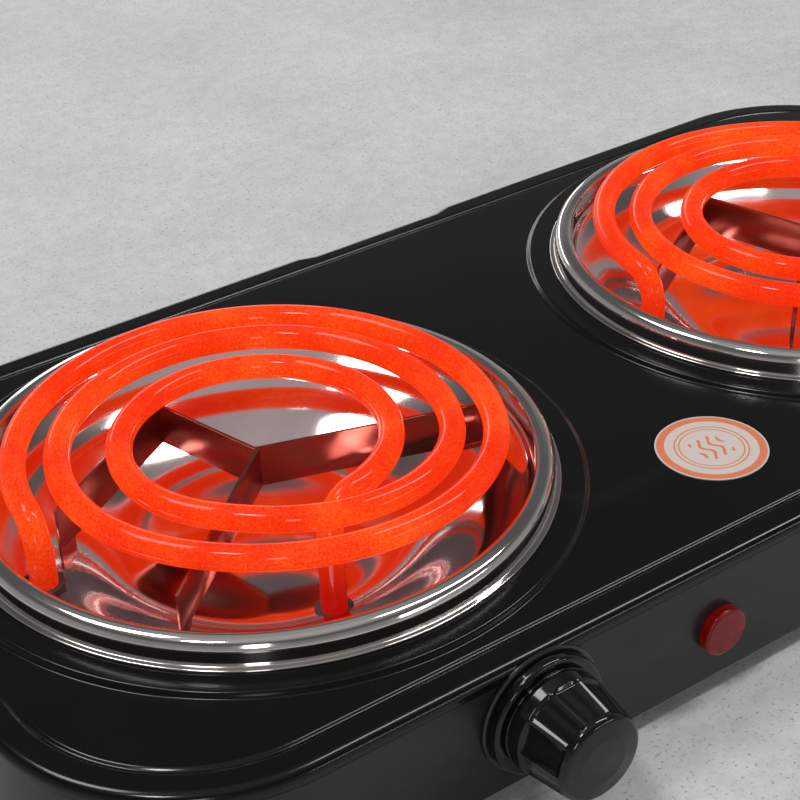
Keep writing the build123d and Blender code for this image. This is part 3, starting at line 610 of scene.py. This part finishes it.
def build_deck():
    """One pressed sheet: rolled edge, border groove, two raised seats; thickness by Solidify."""
    mesh = bmesh.new()
    place = Matrix.Translation(Vector((DECK_MIDDLE.x, DECK_MIDDLE.y, DECK_TOP))) @ Matrix.Scale(MM, 4)

    def add_ring(points):
        return [mesh.verts.new(place @ p) for p in points]

    def join(first, second):
        for i in range(len(first)):
            j = (i + 1) % len(first)
            mesh.faces.new((first[i], first[j], second[j], second[i]))

    borders = []
    previous = None
    for inset, height, notch_depth in deck_section():
        ring = add_ring([p + Vector((0, 0, height)) for p in outline(inset, notch_depth)])
        if previous:
            join(previous, ring)
        previous = ring
    borders.append(previous)
    for side in SIDES:
        hub = (RING[side] - DECK_MIDDLE) / MM
        previous = None
        for radius, height in seat_section():
            ring = add_ring([Vector((hub.x + radius * cos(2 * pi * k / ROUND_STEPS),
                                     hub.y + radius * sin(2 * pi * k / ROUND_STEPS), height))
                             for k in range(ROUND_STEPS)])
            if previous:
                join(previous, ring)
            else:
                borders.append(ring)
            previous = ring
    edges = []
    for ring in borders:
        for i, vert in enumerate(ring):
            edges.append(mesh.edges.get((vert, ring[(i + 1) % len(ring)])))
    bmesh.ops.triangle_fill(mesh, use_beauty=True, use_dissolve=False, edges=edges)
    bmesh.ops.recalc_face_normals(mesh, faces=mesh.faces)
    mesh.faces.ensure_lookup_table()
    field = max(mesh.faces, key=lambda face: face.calc_area())
    if field.normal.z < 0:
        bmesh.ops.reverse_faces(mesh, faces=mesh.faces)
    sheet = bpy.data.meshes.new("deck")
    mesh.to_mesh(sheet)
    mesh.free()
    deck = bpy.data.objects.new("deck", sheet)
    bpy.context.scene.collection.objects.link(deck)
    thick = deck.modifiers.new("gauge", "SOLIDIFY")
    thick.thickness = DECK_GAUGE * MM
    thick.offset = -1.0
    thick.use_even_offset = True
    settle(deck, 50.0)
    deck.data.materials.append(MATERIALS["deck_enamel"])
    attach(deck, HOUSING)
    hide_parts("top_deck")


# ---- burners -------------------------------------------------------------
def build_ring(side):
    """Trim ring: flat foot, upright wall and a crowned top, turned from one sheet."""
    low = EMBOSS_RISE
    outside = [(RING_OUTER_R, low), (RING_OUTER_R, low + 0.7), (RING_OUTER_R - 1.6, low + 0.95),
               (RING_OUTER_R - 1.7, RING_TOP - 2.6), (RING_OUTER_R - 2.9, RING_TOP - 0.6),
               (RING_INNER_R + 1.9, RING_TOP), (RING_INNER_R + 0.5, RING_TOP - 0.5),
               (RING_INNER_R, RING_TOP - 1.4), (RING_INNER_R, low + 0.8)]
    radii = [0.15, 0.3, 0.4, 2.6, 3.4, 4.0, 0.8, 0.8, 0.15]
    inside = offset(outside, RING_GAUGE)
    profile = rounded(outside + inside[::-1], radii + [0.15] * len(inside))
    centre = RING[side]
    verts, faces = lathe(profile, at(centre.x, centre.y, DECK_TOP))
    piece(f"ring_{side}", "ring_chrome", verts, faces, HOUSING, [f"trim_ring_{side}"], 60.0)


def punch_hole(pan, x, y):
    """A round hole through the pan for one leg of the element."""
    wall = [(PAN_HOLE_R, LEG_END), (PAN_HOLE_R, COIL_Z - LEG_BEND)]
    verts, faces = lathe(wall, at(x, y, DECK_TOP), HOLE_STEPS, closed=False)
    faces += [tuple(range(0, 2 * HOLE_STEPS, 2)), tuple(range(1, 2 * HOLE_STEPS, 2))]
    mesh = bpy.data.meshes.new("punch")
    mesh.from_pydata(verts, [], faces)
    punch = bpy.data.objects.new("punch", mesh)
    bpy.context.scene.collection.objects.link(punch)
    cut = pan.modifiers.new("hole", "BOOLEAN")
    cut.operation = "DIFFERENCE"
    cut.solver = "EXACT"
    cut.object = punch
    settle(pan, 50.0)
    bpy.data.objects.remove(punch)


def build_pan(side):
    """Drip pan: the CAD's bowl with smooth bends, thickened and subdivided."""
    centre = RING[side]
    verts, faces = lathe(PAN_CURVE[::-1], at(centre.x, centre.y, DECK_TOP), PAN_STEPS, closed=False)
    count = len(PAN_CURVE)
    faces.append(tuple(step * count for step in range(PAN_STEPS)))
    pan = piece(f"pan_{side}", "pan_chrome", verts, faces, HOUSING, [f"drip_pan_{side}"])
    thick = pan.modifiers.new("gauge", "SOLIDIFY")
    thick.thickness = PAN_GAUGE * MM
    thick.offset = -1.0
    smooth = pan.modifiers.new("smooth", "SUBSURF")
    smooth.levels = 2
    smooth.render_levels = 2
    settle(pan)
    for leg in leg_ends():
        punch_hole(pan, centre.x + leg.x * MM, centre.y + leg.y * MM)


def coil_radius(angle):
    """Distance from the burner's centre as the winding goes round."""
    start, end = COIL_STEP
    for turn in range(2):
        first, last = start - 360 * turn, end - 360 * turn
        if angle > first:
            return TURNS[turn]
        if angle > last:
            across = (first - angle) / (first - last)
            return TURNS[turn] + (TURNS[turn + 1] - TURNS[turn]) * (1 - cos(pi * across)) / 2
    return TURNS[2]


def leg_ends():
    """Middle of each leg, in millimetres from the burner's centre."""
    return [unit(COIL_START) * TURNS[0] - travel(COIL_START) * LEG_BEND,
            unit(COIL_END) * TURNS[2] + travel(COIL_END) * LEG_BEND]


def travel(angle):
    """Which way the winding runs at an angle, going clockwise from above."""
    return Vector((sin(radians(angle)), -cos(radians(angle)), 0.0))


def coil_path():
    """Centre line of one element: leg, quarter bend, three turns, quarter bend, leg."""
    count = int((COIL_START - COIL_END) / WINDING_STEP)
    turns = []
    for k in range(count + 1):
        angle = COIL_START + (COIL_END - COIL_START) * k / count
        point = unit(angle) * coil_radius(angle)
        point.z = COIL_Z
        turns.append(point)

    def leg(turn_point, away):
        bend = []
        for k in range(1, BEND_STEPS + 1):
            angle = pi / 2 * k / BEND_STEPS
            drop = Vector((0, 0, LEG_BEND * (1 - cos(angle))))
            bend.append(turn_point + away * (LEG_BEND * sin(angle)) - drop)
        top = bend[-1]
        for k in range(1, LEG_STEPS + 1):
            bend.append(Vector((top.x, top.y, top.z + (LEG_END - top.z) * k / LEG_STEPS)))
        return bend

    outer = leg(turns[0], -travel(COIL_START))
    inner = leg(turns[-1], travel(COIL_END))
    return outer[::-1] + turns + inner


def build_coil(side):
    """One element: a round tube swept along its path."""
    path = coil_path()
    centre = RING[side]
    place = at(centre.x, centre.y, DECK_TOP)
    verts, faces = [], []
    for i, point in enumerate(path):
        along = (path[min(i + 1, len(path) - 1)] - path[max(i - 1, 0)]).normalized()
        outward = Vector((point.x, point.y, 0.0)).normalized()
        side_axis = (outward - along * outward.dot(along)).normalized()
        up_axis = along.cross(side_axis)
        for k in range(TUBE_STEPS):
            angle = 2 * pi * k / TUBE_STEPS
            verts.append(place @ (point + (side_axis * cos(angle) + up_axis * sin(angle)) * TUBE_R))
    rings = len(path)
    for i in range(rings - 1):
        for k in range(TUBE_STEPS):
            j = (k + 1) % TUBE_STEPS
            a, b = i * TUBE_STEPS, (i + 1) * TUBE_STEPS
            faces.append((a + k, a + j, b + j, b + k))
    faces.append(tuple(range(TUBE_STEPS)))
    faces.append(tuple((rings - 1) * TUBE_STEPS + k for k in range(TUBE_STEPS)))
    piece(f"coil_{side}", "hot_sheath", verts, faces, HOUSING, [f"heating_coil_{side}"], 60.0)


def pan_height(radius):
    """Height of the pan's surface at a distance from its centre, in millimetres."""
    for (r1, z1), (r0, z0) in zip(PAN_CURVE, PAN_CURVE[1:]):
        if r0 <= radius <= r1:
            return z0 + (z1 - z0) * (radius - r0) / (r1 - r0)
    return PAN_CURVE[-1][1]


def build_support(side):
    """Three welded strips on edge under the coil, each with a leg down to the pan."""
    centre = RING[side]
    place = at(centre.x, centre.y, DECK_TOP)
    top = COIL_Z - TUBE_R
    verts, faces = [], []

    def slab(points, low, high):
        left = offset(points, BLADE_GAUGE)
        loop = points + left[::-1]
        base = len(verts)
        for height in (low, high):
            verts.extend(place @ Vector((x, y, height)) for x, y in loop)
        count = len(loop)
        half = len(points)
        for i in range(count):
            j = (i + 1) % count
            faces.append((base + i, base + j, base + count + j, base + count + i))
        for i in range(half - 1):
            a, b, c, d = i, i + 1, count - 2 - i, count - 1 - i
            faces.append((base + a, base + b, base + c, base + d))
            faces.append((base + count + a, base + count + b, base + count + c, base + count + d))

    for index, angle in enumerate(BLADE_ANGLES):
        far = unit(angle) * BLADE_REACH
        points = [(0.0, 0.0), (far.x, far.y)]
        if index == 0:
            bend = unit(angle) * CREASE_R
            far = unit(FOLD_TIP[0]) * FOLD_TIP[1]
            points = [(0.0, 0.0), (bend.x, bend.y), (far.x, far.y)]
        slab(points, top - BLADE_HEIGHT, top)
        (ax, ay), (bx, by) = points[-2:]
        tip = Vector((bx - ax, by - ay)).normalized()
        back = (bx - tip.x * LEG_WIDTH, by - tip.y * LEG_WIDTH)
        slab([back, (bx, by)], pan_height(hypot(bx, by)) + 0.4, top - BLADE_HEIGHT)
    support = piece(f"support_{side}", "support_steel", verts, faces, HOUSING, [f"coil_support_{side}"])
    soft = support.modifiers.new("soft", "BEVEL")
    soft.width = 0.18 * MM
    soft.segments = 2
    soft.limit_method = "ANGLE"
    settle(support, 40.0)


# ---- controls ------------------------------------------------------------
def build_knob(side):
    """Gloss knob: round flange, ten scalloped flutes on a cone and a smooth domed cap."""
    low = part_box(f"knob_{side}")[0]
    shaft = middle(f"thermostat_shaft_{side}")
    length = (PANEL_Y - low.y) / MM
    place = facing_front(shaft.x, PANEL_Y, shaft.z)
    back, front = FLANGE
    shoulder = front + 1.6
    outside = [(BORE_R, back), (FLANGE_R, back), (FLANGE_R, front), (KNOB_BASE_R - 0.6, front + 0.1),
               (KNOB_BASE_R + 0.6, shoulder), (KNOB_BASE_R + 0.15, FLUTE_START), (KNOB_CAP_R, length - 0.9),
               (KNOB_CAP_R * 0.55, length - 0.12), (0.02, length), (0.02, BORE_END), (BORE_R, BORE_END)]
    radii = [0.2, 0.9, 1.1, 0.5, 1.6, 6.0, 1.9, 3.0, 0.0, 0.0, 0.2]
    plain = rounded(outside, radii, steps=7)
    profile = []
    for i, point in enumerate(plain):
        following = plain[(i + 1) % len(plain)]
        profile.append(point)
        on_cone = min(point.x, following.x) > KNOB_CAP_R - 1 and point.y > back
        if on_cone and (following - point).length > 1.0:
            parts = int((following - point).length / KNOB_SLICE) + 1
            profile += [point.lerp(following, k / parts) for k in range(1, parts)]

    def scallop(radius, height, angle):
        """Wide shallow hollows between narrow ribs, fading out at the shoulder and under the cap."""
        if radius < KNOB_CAP_R * 0.8:
            return radius
        across = abs(sin(FLUTES * angle / 2))
        hollow = 1 - (1 - across) ** FLUTE_FLATNESS
        rise = min(max((height - FLUTE_START) / FLUTE_FADE[0], 0.0), 1.0)
        fall = min(max((length - CAP_BAND - height) / FLUTE_FADE[1], 0.0), 1.0)
        fade = (rise * rise * (3 - 2 * rise)) * (fall * fall * (3 - 2 * fall))
        return radius - FLUTE_DEPTH * hollow * fade

    verts, faces = lathe(profile, place, KNOB_STEPS, reach=scallop)
    piece(f"dial_{side}", "knob_gloss", verts, faces, f"knob_{side}_body", [f"knob_{side}"], 70.0)


def build_lens(side):
    """Round lens with a straight side, a rounded rim and a nearly flat face."""
    centre = middle(f"lamp_lens_{side}")
    place = facing_front(centre.x, PANEL_Y, centre.z)
    outside = [(LENS_STEM_R, -LENS_STEM), (LENS_STEM_R, 0.02), (LENS_R, 0.02), (LENS_R, LENS_RISE - 0.7),
               (LENS_R - 0.9, LENS_RISE - 0.2), (0.02, LENS_RISE), (0.02, -LENS_STEM)]
    verts, faces = lathe(rounded(outside, [0.2, 0.1, 0.3, 0.8, 0.8, 0.0, 0.0], 6), place, LENS_STEPS)
    piece(f"lens_{side}", "lens_red", verts, faces, HOUSING, [f"lamp_lens_{side}"], 70.0)


# ---- stage ---------------------------------------------------------------
def build_camera():
    """The photo's camera: placed from the deck, aimed by heading, dip and roll."""
    heading, dip, roll = (radians(a) for a in (CAMERA_HEADING, CAMERA_DIP, CAMERA_ROLL))
    ahead = Vector((sin(heading) * cos(dip), cos(heading) * cos(dip), -sin(dip)))
    right = Vector((cos(heading), -sin(heading), 0.0))
    up = right.cross(ahead)
    right, up = right * cos(roll) + up * sin(roll), up * cos(roll) - right * sin(roll)
    data = bpy.data.cameras.new("camera")
    data.lens = CAMERA_LENS
    data.sensor_width = 36.0
    data.clip_start = 0.01
    camera = bpy.data.objects.new("camera", data)
    camera.matrix_world = Matrix((right, up, -ahead)).transposed().to_4x4()
    camera.location = ORIGIN + CAMERA_OFFSET
    bpy.context.scene.collection.objects.link(camera)
    bpy.context.scene.camera = camera


def build_floor():
    """Table top: a flat square around the part, staged so that it is no part of the model."""
    mesh = bpy.data.meshes.new("floor")
    grid = bmesh.new()
    bmesh.ops.create_grid(grid, x_segments=24, y_segments=24, size=FLOOR_HALF)
    grid.to_mesh(mesh)
    grid.free()
    floor = bpy.data.objects.new("floor", mesh)
    mesh.materials.append(stone())
    bpy.context.scene.collection.objects.link(floor)


def softbox(name, position, target, width, height, power):
    """One rectangular area light aimed at the target."""
    data = bpy.data.lights.new(name, "AREA")
    data.shape = "RECTANGLE"
    data.size = width
    data.size_y = height
    data.energy = power
    lamp = bpy.data.objects.new(name, data)
    lamp.location = position
    lamp.rotation_euler = (Vector(target) - Vector(position)).to_track_quat("-Z", "Y").to_euler()
    bpy.context.scene.collection.objects.link(lamp)


def build_light():
    """A grey world graded by height, and the softboxes around the deck."""
    world = bpy.data.worlds.new("studio")
    world.use_nodes = True
    nodes, links = world.node_tree.nodes, world.node_tree.links
    split = nodes.new("ShaderNodeSeparateXYZ")
    links.new(nodes.new("ShaderNodeTexCoord").outputs["Generated"], split.inputs[0])
    sky = nodes.new("ShaderNodeValToRGB")
    links.new(split.outputs["Z"], sky.inputs["Fac"])
    while len(sky.color_ramp.elements) < len(SKY):
        sky.color_ramp.elements.new(0.5)
    for element, (height, grey) in zip(sky.color_ramp.elements, SKY):
        element.position = height
        element.color = (grey, grey, grey, 1.0)
    links.new(sky.outputs["Color"], nodes["Background"].inputs["Color"])
    nodes["Background"].inputs["Strength"].default_value = 1.0
    bpy.context.scene.world = world
    target = Vector((0.0, 0.0, DECK_TOP))
    for name, direction, width, height, power in SOFTBOXES:
        softbox(name, target + Vector(direction).normalized() * LIGHT_REACH, target, width, height, power)
    bpy.context.scene.view_settings.view_transform = "Standard"


build_camera()
build_floor()
build_light()
dress_frame()
build_deck()
for which in SIDES:
    build_ring(which)
    build_pan(which)
    build_coil(which)
    build_support(which)
    build_knob(which)
    build_lens(which)
